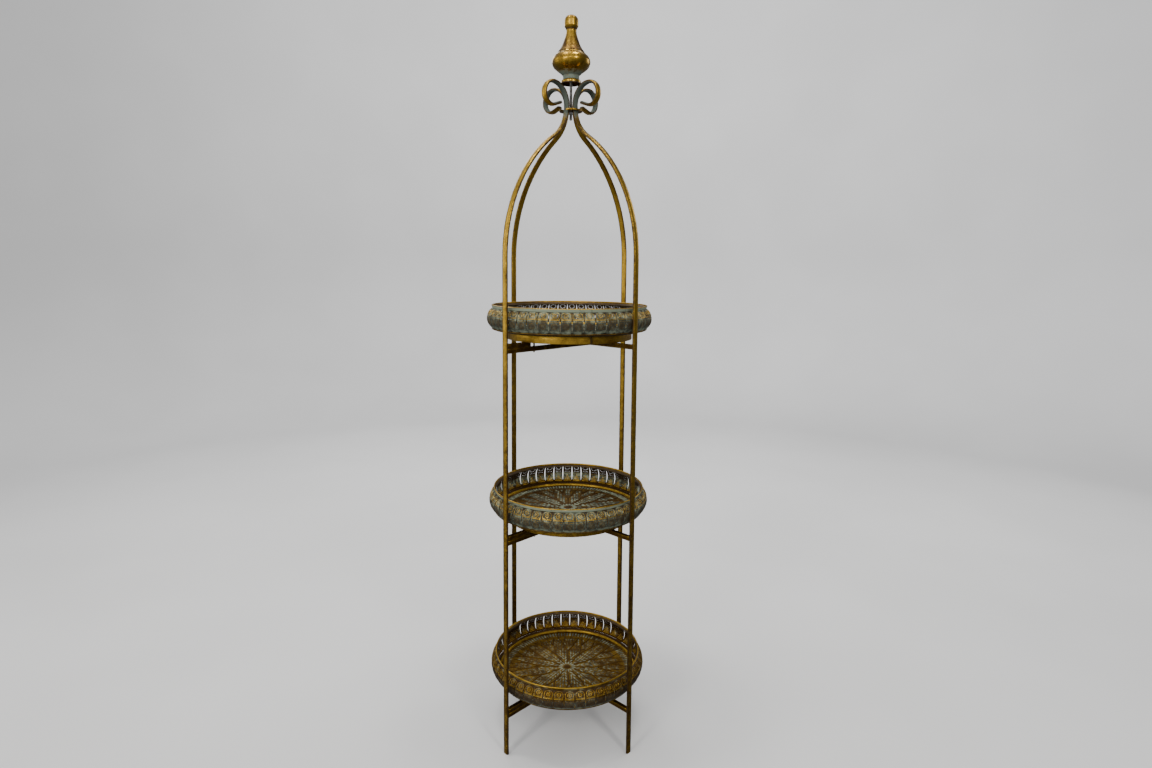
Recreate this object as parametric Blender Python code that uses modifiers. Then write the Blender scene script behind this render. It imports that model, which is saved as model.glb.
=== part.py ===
"""Tall tiered tray stand: three pierced brass trays in a cage of four uprights of oval bar.

The uprights close in an ogee dome, pass through a collar plate and end in scrolls under a finial.
Each tray stands on a hoop, and the hoop lies on a cross of two square bars.
Units are metres, +Z is up, and the origin is on the floor, on the stand's axis.
"""
import math

import bmesh
import bpy
from mathutils import Matrix, Vector

# Clearance between pieces that touch on the real stand
GAP = 0.0003
SEAM = 0.0004

# Uprights: oval bar, distances from the stand's axis to the middle of the bar
BAR_WIDTH = 0.0142
BAR_THICKNESS = 0.0066
FOOT_RADIUS = 0.195
FOOT_SQUARE = 0.003
SHOULDER_RADIUS = 0.186
SHOULDER_HEIGHT = 1.105
NECK_RADIUS = 0.0126
DOME_BEND = 0.302
DOME_SLOPE = 57.5
NECK_STRAIGHT = 0.003
SCROLL_RISE = 0.0394
SCROLL_CROWN = 0.0254
SCROLL_CURL = 0.0207
SCROLL_END = 290.0
SCROLL_TAIL = 0.018
SECTION_POINTS = 12
SECTION_SQUARENESS = 2.5
BEND_PIECES = {"dome": 9, "neck": 7, "rise": 7, "crown": 6, "curl": 7}

# Collar, stud and nut (M6)
COLLAR_HEIGHT = 1.410
COLLAR_RADIUS = 0.0245
COLLAR_THICKNESS = 0.003
COLLAR_SLOT_CLEARANCE = 0.0007
COLLAR_SIDES = 32
STUD_RADIUS = 0.003
STUD_FOOT = 1.391
STUD_TOP = 1.500
STUD_SIDES = 16
NUT_ACROSS_FLATS = 0.010
NUT_HEIGHT = 0.005

# Finial, a hollow spun shell in two halves
FINIAL_WALL = 0.0012
FINIAL_SIDES = 24
SPIRE_OUTLINE = [(0.0, 1.6000), (0.0052, 1.5989), (0.0096, 1.5967), (0.0126, 1.5938),
                 (0.0140, 1.5905), (0.0144, 1.5868), (0.0145, 1.5785), (0.0140, 1.5764),
                 (0.0122, 1.5734), (0.0111, 1.5712), (0.0107, 1.5688), (0.0109, 1.5655),
                 (0.0118, 1.5612), (0.0132, 1.5558), (0.0153, 1.5497), (0.0177, 1.5435),
                 (0.0204, 1.5376), (0.0232, 1.5328), (0.0263, 1.5288), (0.0281, 1.5264)]
BOWL_OUTLINE = [(0.0281, 1.5254), (0.0290, 1.5242), (0.0328, 1.5208), (0.0367, 1.5170),
                (0.0393, 1.5125), (0.0406, 1.5080), (0.0400, 1.5035), (0.0382, 1.4990),
                (0.0342, 1.4942), (0.0277, 1.4893), (0.0211, 1.4840), (0.0176, 1.4806),
                (0.0172, 1.4775), (0.0174, 1.4740), (0.0190, 1.4715), (0.0207, 1.4700),
                (0.0211, 1.4675), (0.0211, 1.4643)]
INSERT_RADIUS = 0.0157
INSERT_FOOT = 1.4755
INSERT_HEIGHT = 0.006

# Trays, heights below the top of the rim
RIM_HEIGHTS = {"top": 1.003, "middle": 0.589, "bottom": 0.183}
RIM_RADIUS = 0.172
RIM_HALF_WIDTH = 0.003
RIM_HALF_HEIGHT = 0.004
WALL_BEND = 0.027
WALL_BEND_CENTRE = (0.1554, -0.0295)
WALL_ARC = 52.0
SHEET = 0.0015
WALL_PIECES = 6
ROLL_FROM, ROLL_TO, ROLL_STEP = -30, 180, 30
STEP_RADIUS = 0.1715
STEP_DROP = -0.0525
BASE_RADIUS = 0.150
BASE_DROP = -0.058
TRAY_SIDES = 40

# Hoop, cross bars, packers and pin of one tier
HOOP_RADIUS = 0.139
HOOP_WALL = 0.003
HOOP_HEIGHT = 0.016
CROSS_BAR = 0.010
PACKER_LENGTH = 0.063
PIN_RADIUS = 0.00125
PIN_REACH = 0.1075
PIN_TIP = 0.003
PIN_SIDES = 12
BAR_BEVEL = 0.0006

# Cutters run past the faces that they cut by this much
OVERRUN = 0.010

# Round solids are shaded smooth up to this angle, in degrees; six sides are a hexagon
SMOOTH_ANGLE = 40.0
HEXAGON = 6

# Directions of the uprights around the axis, in degrees
AZIMUTHS = {"front_left": -135.0, "front_right": -45.0, "rear_right": 45.0, "rear_left": 135.0}

COLOURS = {
    "upright": ((0.34, 0.22, 0.06, 1.0), 0.38, 1.0),
    "bar": ((0.20, 0.12, 0.04, 1.0), 0.50, 1.0),
    "hoop": ((0.38, 0.23, 0.06, 1.0), 0.35, 1.0),
    "tray": ((0.24, 0.22, 0.13, 1.0), 0.45, 1.0),
    "finial": ((0.42, 0.28, 0.07, 1.0), 0.25, 1.0),
    "steel": ((0.25, 0.26, 0.26, 1.0), 0.45, 1.0),
}


def clear_scene():
    for item in list(bpy.data.objects):
        bpy.data.objects.remove(item, do_unlink=True)


def new_collection(name):
    group = bpy.data.collections.new(name)
    bpy.context.scene.collection.children.link(group)
    return group


clear_scene()
STAND = new_collection("tiered_tray_stand")
CUTTERS = new_collection("cutters")


def make_material(name, kind):
    colour, roughness, metallic = COLOURS[kind]
    material = bpy.data.materials.new(name + "_finish")
    material.use_nodes = True
    shader = material.node_tree.nodes["Principled BSDF"]
    shader.inputs["Base Color"].default_value = colour
    shader.inputs["Roughness"].default_value = roughness
    shader.inputs["Metallic"].default_value = metallic
    return material


def place(name, data, kind):
    """Add an object for a piece of the stand, with its own material."""
    piece = bpy.data.objects.new(name, data)
    STAND.objects.link(piece)
    data.materials.append(make_material(name, kind))
    return piece


def place_cutter(name, mesh):
    cutter = bpy.data.objects.new(name, mesh)
    CUTTERS.objects.link(cutter)
    cutter.hide_render = True
    cutter.display_type = "WIRE"
    return cutter


def cut(piece, cutter):
    boolean = piece.modifiers.new("cut", "BOOLEAN")
    boolean.operation = "DIFFERENCE"
    boolean.solver = "EXACT"
    boolean.object = cutter


def box_mesh(name, size, centre=(0.0, 0.0, 0.0)):
    shape = bmesh.new()
    bmesh.ops.create_cube(shape, size=1.0)
    bmesh.ops.scale(shape, vec=Vector(size), verts=shape.verts)
    bmesh.ops.translate(shape, vec=Vector(centre), verts=shape.verts)
    mesh = bpy.data.meshes.new(name)
    shape.to_mesh(mesh)
    shape.free()
    return mesh


def cylinder_mesh(name, radius, low, high, sides):
    shape = bmesh.new()
    bmesh.ops.create_cone(shape, cap_ends=True, segments=sides,
                          radius1=radius, radius2=radius, depth=high - low)
    bmesh.ops.translate(shape, vec=Vector((0.0, 0.0, (low + high) / 2)), verts=shape.verts)
    mesh = bpy.data.meshes.new(name)
    shape.to_mesh(mesh)
    shape.free()
    if sides > HEXAGON:
        mesh.shade_smooth()
        mesh.set_sharp_from_angle(angle=math.radians(SMOOTH_ANGLE))
    return mesh


def turned(name, kind, outline, sides, closed=False, wall=0.0):
    """Turn an outline of (radius, height) points about Z; a wall makes it a hollow shell."""
    edges = [(i, i + 1) for i in range(len(outline) - 1)]
    if closed:
        edges.append((len(outline) - 1, 0))
    mesh = bpy.data.meshes.new(name)
    mesh.from_pydata([(radius, 0.0, height) for radius, height in outline], edges, [])
    piece = place(name, mesh, kind)
    screw = piece.modifiers.new("turn", "SCREW")
    screw.axis = "Z"
    screw.angle = math.tau
    screw.steps = sides
    screw.render_steps = sides
    screw.use_merge_vertices = True
    screw.merge_threshold = 0.00001
    screw.use_smooth_shade = True
    if wall:
        solidify = piece.modifiers.new("wall", "SOLIDIFY")
        solidify.thickness = wall
        solidify.offset = -1.0
        solidify.use_even_offset = True
    return piece


# Uprights

def bend(path, heading, new_heading, radius, pieces):
    """Continue a path of (radius, height) points along an arc; headings are degrees from +Z."""
    start, end = math.radians(heading), math.radians(new_heading)
    side = 1 if end > start else -1
    out, up = path[-1]
    for step in range(1, pieces + 1):
        angle = start + (end - start) * step / pieces
        path.append((out + side * radius * (math.cos(start) - math.cos(angle)),
                     up + side * radius * (math.sin(angle) - math.sin(start))))


def leg_lean():
    return math.atan2(FOOT_RADIUS - SHOULDER_RADIUS, SHOULDER_HEIGHT)


def leg_radius(height):
    """Distance of the straight leg's middle from the axis at a height."""
    return FOOT_RADIUS - (FOOT_RADIUS - SHOULDER_RADIUS) * height / SHOULDER_HEIGHT


def inner_radius(height):
    """Distance of the leg's inner side from the axis."""
    return leg_radius(height) - BAR_THICKNESS / 2


def upright_path():
    """Middle line of an upright in its own plane, from the floor to the scroll's tip."""
    path = [(FOOT_RADIUS, 0.0), (FOOT_RADIUS, FOOT_SQUARE), (SHOULDER_RADIUS, SHOULDER_HEIGHT)]
    lean = -math.degrees(leg_lean())
    bend(path, lean, -DOME_SLOPE, DOME_BEND, BEND_PIECES["dome"])
    neck_bend = (path[-1][0] - NECK_RADIUS) / (1 - math.cos(math.radians(DOME_SLOPE)))
    bend(path, -DOME_SLOPE, 0.0, neck_bend, BEND_PIECES["neck"])
    path.append((NECK_RADIUS, path[-1][1] + NECK_STRAIGHT))
    bend(path, 0.0, 90.0, SCROLL_RISE, BEND_PIECES["rise"])
    bend(path, 90.0, 180.0, SCROLL_CROWN, BEND_PIECES["crown"])
    bend(path, 180.0, SCROLL_END, SCROLL_CURL, BEND_PIECES["curl"])
    heading = math.radians(SCROLL_END)
    out, up = path[-1]
    path.append((out + SCROLL_TAIL * math.sin(heading), up + SCROLL_TAIL * math.cos(heading)))
    return path


def squared(value):
    """A sine or cosine turned into the coordinate of a superellipse."""
    return math.copysign(abs(value) ** (2 / SECTION_SQUARENESS), value)


def oval_section():
    """Closed profile of the bar, its long axis across the direction to the stand's axis."""
    curve = bpy.data.curves.new("oval_section", "CURVE")
    curve.dimensions = "2D"
    spline = curve.splines.new("POLY")
    spline.points.add(SECTION_POINTS - 1)
    for index, point in enumerate(spline.points):
        angle = -math.tau * index / SECTION_POINTS
        point.co = (BAR_THICKNESS / 2 * squared(math.cos(angle)),
                    BAR_WIDTH / 2 * squared(math.sin(angle)), 0.0, 1.0)
    spline.use_cyclic_u = True
    guide = bpy.data.objects.new("oval_section", curve)
    CUTTERS.objects.link(guide)
    guide.hide_render = True
    guide.display_type = "WIRE"
    return guide


def add_upright(place_name, azimuth, section):
    """Bar bent in its own plane; the curve's X is outwards and its Y is up."""
    name = "upright_" + place_name
    curve = bpy.data.curves.new(name, "CURVE")
    curve.dimensions = "2D"
    curve.fill_mode = "NONE"
    curve.bevel_mode = "OBJECT"
    curve.bevel_object = section
    curve.use_fill_caps = True
    path = upright_path()
    spline = curve.splines.new("POLY")
    spline.points.add(len(path) - 1)
    for point, (out, up) in zip(spline.points, path):
        point.co = (out, up, 0.0, 1.0)
    spline.use_smooth = True
    upright = place(name, curve, "upright")
    upright.rotation_euler = (math.radians(90), 0.0, math.radians(azimuth))


# Collar, stud, nut and finial

def add_collar():
    low = COLLAR_HEIGHT - COLLAR_THICKNESS / 2
    high = COLLAR_HEIGHT + COLLAR_THICKNESS / 2
    disc = cylinder_mesh("collar_plate", COLLAR_RADIUS, low, high, COLLAR_SIDES)
    plate = place("collar_plate", disc, "bar")
    hole = cylinder_mesh("stud_hole", STUD_RADIUS + GAP, low - OVERRUN, high + OVERRUN, STUD_SIDES)
    cut(plate, place_cutter("stud_hole", hole))
    inner = NECK_RADIUS - BAR_THICKNESS / 2 - COLLAR_SLOT_CLEARANCE / 2
    outer = NECK_RADIUS + BAR_THICKNESS / 2 + 2 * COLLAR_SLOT_CLEARANCE
    for place_name, azimuth in AZIMUTHS.items():
        # The front left slot is open at the plate's edge
        reach = 2 * COLLAR_RADIUS if place_name == "front_left" else outer
        size = (reach - inner, BAR_WIDTH + COLLAR_SLOT_CLEARANCE, 2 * OVERRUN)
        name = "collar_slot_" + place_name
        slot = place_cutter(name, box_mesh(name, size, ((reach + inner) / 2, 0.0, 0.0)))
        slot.location = (0.0, 0.0, COLLAR_HEIGHT)
        slot.rotation_euler = (0.0, 0.0, math.radians(azimuth))
        cut(plate, slot)


def add_stud_and_nut():
    stud = cylinder_mesh("finial_stud", STUD_RADIUS, STUD_FOOT, STUD_TOP, STUD_SIDES)
    place("finial_stud", stud, "steel")
    top = COLLAR_HEIGHT - COLLAR_THICKNESS / 2 - GAP
    corner_radius = NUT_ACROSS_FLATS / math.sqrt(3)
    foot = top - NUT_HEIGHT
    nut = place("stud_nut", cylinder_mesh("stud_nut", corner_radius, foot, top, HEXAGON), "steel")
    bore = cylinder_mesh("nut_bore", STUD_RADIUS + GAP, foot - OVERRUN, top + OVERRUN, STUD_SIDES)
    cut(nut, place_cutter("nut_bore", bore))


def add_finial():
    turned("finial_spire", "finial", SPIRE_OUTLINE, FINIAL_SIDES, wall=FINIAL_WALL)
    turned("finial_bowl", "finial", BOWL_OUTLINE, FINIAL_SIDES, wall=FINIAL_WALL)
    bore = STUD_RADIUS + GAP
    top = INSERT_FOOT + INSERT_HEIGHT
    ring = [(INSERT_RADIUS, top), (INSERT_RADIUS, INSERT_FOOT), (bore, INSERT_FOOT), (bore, top)]
    turned("finial_insert", "steel", ring, FINIAL_SIDES, closed=True)


# Tiers

def tray_outline(rim):
    """Half section of a tray: floor, inner wall, rolled rim, outer wall and underside."""
    centre_out, centre_up = WALL_BEND_CENTRE

    def wall_arc(radius, start, end):
        angles = [math.radians(start + (end - start) * i / WALL_PIECES)
                  for i in range(WALL_PIECES + 1)]
        return [(centre_out + radius * math.cos(a), centre_up + radius * math.sin(a))
                for a in angles]

    rim_centre = RIM_RADIUS - RIM_HALF_WIDTH
    roll = [(rim_centre - RIM_HALF_WIDTH * math.cos(math.radians(a)),
             -RIM_HALF_HEIGHT + RIM_HALF_HEIGHT * math.sin(math.radians(a)))
            for a in range(ROLL_FROM, ROLL_TO + 1, ROLL_STEP)]
    floor = [(0.0, BASE_DROP + SHEET), (BASE_RADIUS - SHEET / 2, BASE_DROP + SHEET),
             (STEP_RADIUS - 4 * SHEET, STEP_DROP + SHEET)]
    underside = [(STEP_RADIUS, STEP_DROP), (STEP_RADIUS - 3 * SHEET, STEP_DROP - SHEET),
                 (BASE_RADIUS, BASE_DROP), (0.0, BASE_DROP)]
    section = (floor + wall_arc(WALL_BEND - SHEET, -WALL_ARC, WALL_ARC) + roll
               + wall_arc(WALL_BEND, WALL_ARC, -WALL_ARC) + underside)
    return [(radius, rim + drop) for radius, drop in section]


def add_bar(name, azimuth, start, end, middle_height):
    """Square bar along a direction from the axis, from one radius to another."""
    mesh = box_mesh(name, (end - start, CROSS_BAR, CROSS_BAR), ((start + end) / 2, 0.0, 0.0))
    bar = place(name, mesh, "bar")
    bar.location = (0.0, 0.0, middle_height)
    bar.rotation_euler = (0.0, 0.0, math.radians(azimuth))
    bevel = bar.modifiers.new("soft_edges", "BEVEL")
    bevel.width = BAR_BEVEL
    bevel.segments = 1
    return bar


def at_azimuth(azimuth, radius, height):
    return Matrix.Rotation(math.radians(azimuth), 4, "Z") @ Vector((radius, 0.0, height))


def add_tier(tier, rim):
    """Tray, hoop, crossed bars, packers and pin, stacked down from the tray's underside."""
    hoop_top = rim + BASE_DROP - GAP
    upper_top = hoop_top - HOOP_HEIGHT - GAP
    lower_top = upper_top - CROSS_BAR - GAP
    lower_foot = lower_top - CROSS_BAR
    reach = inner_radius(upper_top) - SEAM
    front, rear = AZIMUTHS["front_left"], AZIMUTHS["rear_right"]

    turned("tray_" + tier, "tray", tray_outline(rim), TRAY_SIDES)

    inner = HOOP_RADIUS - HOOP_WALL
    band = [(HOOP_RADIUS, hoop_top), (HOOP_RADIUS, hoop_top - HOOP_HEIGHT),
            (inner, hoop_top - HOOP_HEIGHT), (inner, hoop_top)]
    turned("support_hoop_" + tier, "hoop", band, TRAY_SIDES, closed=True)

    add_bar("cross_bar_upper_" + tier, AZIMUTHS["front_right"], -reach, reach,
            upper_top - CROSS_BAR / 2)
    lower = add_bar("cross_bar_lower_" + tier, front, -reach, reach, lower_top - CROSS_BAR / 2)
    add_bar("packer_front_" + tier, front, reach - PACKER_LENGTH, reach,
            upper_top - CROSS_BAR / 2)
    add_bar("packer_rear_" + tier, rear, reach - PACKER_LENGTH, reach,
            upper_top - CROSS_BAR / 2)

    pin_place = at_azimuth(front, PIN_REACH, 0.0)
    hole = place_cutter("pin_hole_" + tier,
                        cylinder_mesh("pin_hole_" + tier, PIN_RADIUS + GAP,
                                      lower_foot - OVERRUN, lower_top + OVERRUN, PIN_SIDES))
    hole.location = pin_place
    cut(lower, hole)
    pin = place("rest_pin_" + tier,
                cylinder_mesh("rest_pin_" + tier, PIN_RADIUS, lower_foot - PIN_TIP,
                              rim + BASE_DROP - GAP, PIN_SIDES), "bar")
    pin.location = pin_place


def build_stand():
    section = oval_section()
    for place_name, azimuth in AZIMUTHS.items():
        add_upright(place_name, azimuth, section)
    add_collar()
    add_stud_and_nut()
    add_finial()
    for tier, rim in RIM_HEIGHTS.items():
        add_tier(tier, rim)


build_stand()
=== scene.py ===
"""Looks of the tiered tray stand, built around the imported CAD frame.

Each tray is pierced and embossed brass: a wall of 48 panels between slits, each with a rosette
ringed by holes above and a circle below, and a floor with branching trunks and short leaves.
Trays, uprights, bars, hoops, pins, finial, stud and nut are finer meshes that stand for the CAD
solids; the collar plate and the finial's insert keep theirs. Units are metres.
"""
import random
from math import atan2, copysign, cos, degrees, hypot, pi, radians, sin, sqrt, tan, tau

import bmesh
import bpy
import numpy as np
from mathutils import Matrix, Vector
from mathutils.geometry import delaunay_2d_cdt


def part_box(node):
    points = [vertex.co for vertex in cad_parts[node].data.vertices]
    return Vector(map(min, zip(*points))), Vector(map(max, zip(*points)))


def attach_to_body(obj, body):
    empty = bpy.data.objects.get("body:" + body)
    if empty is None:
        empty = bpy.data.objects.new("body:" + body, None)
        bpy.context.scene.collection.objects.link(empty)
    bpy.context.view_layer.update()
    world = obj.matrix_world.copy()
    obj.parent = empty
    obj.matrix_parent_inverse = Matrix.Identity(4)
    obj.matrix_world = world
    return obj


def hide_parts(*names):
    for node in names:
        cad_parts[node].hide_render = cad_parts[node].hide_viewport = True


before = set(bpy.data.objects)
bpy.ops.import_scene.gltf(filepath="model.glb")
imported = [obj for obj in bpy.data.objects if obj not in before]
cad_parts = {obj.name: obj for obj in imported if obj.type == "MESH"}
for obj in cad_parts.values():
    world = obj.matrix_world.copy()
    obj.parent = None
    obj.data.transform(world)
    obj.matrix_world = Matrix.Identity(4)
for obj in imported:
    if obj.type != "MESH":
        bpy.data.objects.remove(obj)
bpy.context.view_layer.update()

MM = 0.001
TIERS = ("top", "middle", "bottom")

# Tray wall: an arc whose middle lies ARC_SINK below the rim, measured to the embossed tops
PANELS = 48
TRAY_TURN = {"top": -2.8, "middle": 0.0, "bottom": 1.0}
RIM_HEIGHT = {tier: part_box("tray_" + tier)[1].z for tier in TIERS}
BULGE_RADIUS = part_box("tray_top")[1].x
RELIEF = 0.6 * MM
ARC_RADIUS = 27.0 * MM
ARC_CENTRE = BULGE_RADIUS - ARC_RADIUS
ARC_SINK = 29.5 * MM
ARC_LOW, ARC_HIGH = -52.0, 57.0
SHEET = 0.9 * MM
PITCH_HALF = pi * BULGE_RADIUS / PANELS
SLIT_LOW, SLIT_HIGH, SLIT_HALF = 6.0 * MM, 50.2 * MM, 1.3 * MM

# Rolled rim and the pan below the wall, heights from the rim's top
RIM_OUTER = 172.0 * MM
RIM_INNER = 166.2 * MM
RIM_BEAD = 1.6 * MM
RIM_FOOT = -8.2 * MM
PAN_FLOOR = -56.8 * MM
PAN_EDGE = 171.3 * MM
EDGE_BEAD_PITCH, EDGE_BEAD_DROP = 3.2 * MM, 51.9 * MM
FLOOR_EDGE = 158.5 * MM
FLOOR_RELIEF = 0.75 * MM


# Shapes: plain lists of points and faces, with a relief value at each point

class Shape:
    """Points, faces and relief (0 in a recess, 1 on a raised edge) of one piece."""

    def __init__(self, points=(), faces=(), relief=()):
        self.points, self.faces, self.relief = list(points), list(faces), list(relief)

    def add(self, points, faces, relief):
        start = len(self.points)
        self.points.extend(points)
        self.relief.extend(relief)
        self.faces.extend([tuple(start + i for i in face) for face in faces])

    def repeated(self, place, count):
        """The shape once for each index, with its points moved by place(points, index)."""
        copies = Shape()
        points = np.array(self.points)
        for index in range(count):
            copies.add([tuple(p) for p in place(points, index)], self.faces, self.relief)
        return copies

    def build(self, name, material, merge=0.0, sharp=42.0, tint=None):
        """Mesh object with its relief; tint(point, relief) gives (verdigris, soot) at a point,
        or tint is a list of them; soot darkens with real stains and with painted shade."""
        mesh = bpy.data.meshes.new(name)
        mesh.from_pydata(self.points, [], self.faces)
        layers = {"relief": self.relief}
        if callable(tint):
            tint = [tint(*pair) for pair in zip(self.points, self.relief)]
        if tint:
            layers["verdigris"], layers["soot"] = zip(*tint)
        for layer_name, values in layers.items():
            layer = mesh.attributes.new(layer_name, "FLOAT", "POINT")
            layer.data.foreach_set("value", np.array(values, dtype=np.float32))
        if merge:
            shape = bmesh.new()
            shape.from_mesh(mesh)
            bmesh.ops.remove_doubles(shape, verts=shape.verts, dist=merge)
            shape.to_mesh(mesh)
            shape.free()
        mesh.shade_smooth()
        mesh.set_sharp_from_angle(angle=radians(sharp))
        mesh.materials.append(material)
        piece = bpy.data.objects.new(name, mesh)
        bpy.context.scene.collection.objects.link(piece)
        return piece


def ring_faces(rows, columns, closed=False):
    """Quads between neighbouring rows of points, with the columns running round."""
    faces = []
    for row in range(rows if closed else rows - 1):
        this, after = row * columns, (row + 1) % rows * columns
        for column in range(columns):
            beside = (column + 1) % columns
            faces.append((this + column, this + beside, after + beside, after + column))
    return faces


def tube_faces(rows, columns):
    """Faces of a tube: quads between its rows of points, and a cap at each end."""
    caps = [tuple(reversed(range(columns))), tuple(range((rows - 1) * columns, rows * columns))]
    return ring_faces(rows, columns) + caps


def reversed_faces(faces):
    return [tuple(reversed(face)) for face in faces]


def spun(out, across, up, turn):
    """Point given by its distance from Z, its distance sideways and its height, turned about Z."""
    return out * cos(turn) - across * sin(turn), out * sin(turn) + across * cos(turn), up


def polar(radius, angle):
    return radius * cos(angle), radius * sin(angle)


def ring(radius, height, sides):
    return [(*polar(radius, tau * side / sides), height) for side in range(sides)]


def attach(piece, body, node=None):
    """Let a piece ride on a body; it stands for the CAD node, if given."""
    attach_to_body(piece, body)
    if node:
        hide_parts(node)


def refinish(node, material):
    """Give a CAD solid that stays a finish of its own."""
    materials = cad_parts[node].data.materials
    materials.clear()
    materials.append(material)


def turned(outline, sides, closed=False, relief=None):
    """Shape turned about Z from (radius, height) points; an end on the axis closes to a fan."""
    points, values, rows = [], [], []
    relief = relief or [0.5] * len(outline)
    for (radius, height), value in zip(outline, relief):
        if radius < 1e-6:
            rows.append([len(points)] * sides)
            points.append((0.0, 0.0, height))
            values.append(value)
            continue
        rows.append(list(range(len(points), len(points) + sides)))
        points += ring(radius, height, sides)
        values += [value] * sides
    faces = []
    pairs = list(zip(rows, rows[1:])) + ([(rows[-1], rows[0])] if closed else [])
    for low, high in pairs:
        for side in range(sides):
            after = (side + 1) % sides
            face = tuple(dict.fromkeys((low[side], low[after], high[after], high[side])))
            if len(face) > 2:
                faces.append(face)
    return Shape(points, faces, values)


def smooth_outline(points, steps):
    """Catmull-Rom curve through outline points, ends kept."""
    curve = []
    padded = [points[0]] + list(points) + [points[-1]]
    for a, b, c, d in zip(padded, padded[1:], padded[2:], padded[3:]):
        for step in range(steps):
            t = step / steps
            curve.append(tuple(0.5 * (2 * q + (r - p) * t + (2 * p - 5 * q + 4 * r - s) * t * t
                                      + (3 * q - p - 3 * r + s) * t ** 3)
                               for p, q, r, s in zip(a, b, c, d)))
    curve.append(tuple(points[-1]))
    return curve


# Raised ornament, drawn in (across, along, height) on a flat sheet; its foot is sunk to EMBED

EMBED = -0.35 * MM


def bead(shape, across, along, radius, height, stretch=1.0, turn=0.0, sides=8):
    """Rounded bump; stretch lengthens it along its own axis, turned from 'along' by turn."""
    points, relief = [], []
    for level, spread, value in ((EMBED / height, 1.0, 0.0), (0.45, 0.93, 0.55), (0.86, 0.6, 0.9)):
        for y, x, z in ring(radius * spread, height * level, sides):
            x, y, z = spun(x, stretch * y, z, -turn)
            points.append((across + x, along + y, z))
        relief += [value] * sides
    points.append((across, along, height))
    relief.append(1.0)
    faces = reversed_faces(ring_faces(3, sides))
    top = 3 * sides
    faces += [(top, 2 * sides + (side + 1) % sides, 2 * sides + side) for side in range(sides)]
    faces.append(tuple(range(sides)))
    shape.add(points, faces, relief)


def ridge(shape, path, half_width, height, closed=False, taper=1.0):
    """Half-round ridge along (across, along) points; taper narrows it towards its end."""
    count = len(path)
    profile = ((-1.0, EMBED / height, 0.0), (-0.78, 0.5, 0.6), (-0.3, 0.95, 1.0),
               (0.3, 0.95, 1.0), (0.78, 0.5, 0.6), (1.0, EMBED / height, 0.0))
    points, relief = [], []
    for index, (across, along) in enumerate(path):
        before = path[index - 1] if closed or index else path[0]
        after = path[(index + 1) % count] if closed or index < count - 1 else path[-1]
        dx, dy = after[0] - before[0], after[1] - before[1]
        length = hypot(dx, dy)
        nx, ny = dy / length, -dx / length
        width = half_width * (1 + (taper - 1) * index / (count - 1))
        for side, level, value in profile:
            points.append((across + nx * side * width, along + ny * side * width, height * level))
            relief.append(value)
    columns = len(profile)
    faces = ring_faces(count, columns, closed=True) if closed else tube_faces(count, columns)
    shape.add(points, reversed_faces(faces), relief)


def circle(across, along, radius, count):
    return [(across + radius * cos(tau * i / count),
             along + radius * sin(tau * i / count)) for i in range(count)]


# Tray wall

WALL_LENGTH = radians(ARC_HIGH - ARC_LOW) * ARC_RADIUS
ROSETTE_ALONG = 41.6 * MM
ROUND_ALONG = 18.4 * MM
LINE_ALONG = 32.2 * MM
PIERCED_ALONG = 29.9 * MM
BEADS_ALONG = 27.5 * MM
ROSETTE_HOLES, LINE_HOLES = 10, (-5.7, -1.9, 1.9, 5.7)
MESH_STEP = 3.0 * MM
DOMING = 0.25 * MM


def slit_half_width(along):
    if not SLIT_LOW < along < SLIT_HIGH:
        return 0.0
    share = (along - SLIT_LOW) / (SLIT_HIGH - SLIT_LOW)
    return SLIT_HALF * sin(pi * share) ** 0.6


def wall_holes():
    """Centres and radii of a panel's pierced holes: round the rosette and under the line."""
    angles = [tau * (index + 0.5) / ROSETTE_HOLES for index in range(ROSETTE_HOLES)]
    holes = [(6.3 * MM * cos(angle), ROSETTE_ALONG + 6.1 * MM * sin(angle), 1.2 * MM)
             for angle in angles]
    return holes + [(across * MM, PIERCED_ALONG, 0.85 * MM) for across in LINE_HOLES]


def wall_outline():
    """Outline of a panel, anticlockwise, with the slit's curve along both sides."""
    steps = [SLIT_LOW + (SLIT_HIGH - SLIT_LOW) * (1 - cos(pi * i / 26)) / 2 for i in range(27)]
    foot = [SLIT_LOW * i / 4 for i in range(4)]
    side = foot + steps + [(SLIT_HIGH + WALL_LENGTH) / 2, WALL_LENGTH]
    right = [(PITCH_HALF - slit_half_width(along), along) for along in side]
    left = [(-across, along) for across, along in reversed(right)]
    across = [PITCH_HALF * share for share in (0.75, 0.5, 0.25, 0.0, -0.25, -0.5, -0.75)]
    top = [(x, WALL_LENGTH) for x in across]
    base = [(-x, 0.0) for x in across]
    return right + top + left + base


def in_hole(across, along, margin=0.0):
    """Whether a place on a panel lies in one of its pierced holes, or within margin of one."""
    return any(hypot(across - x, along - y) < radius + margin for x, y, radius in wall_holes())


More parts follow.
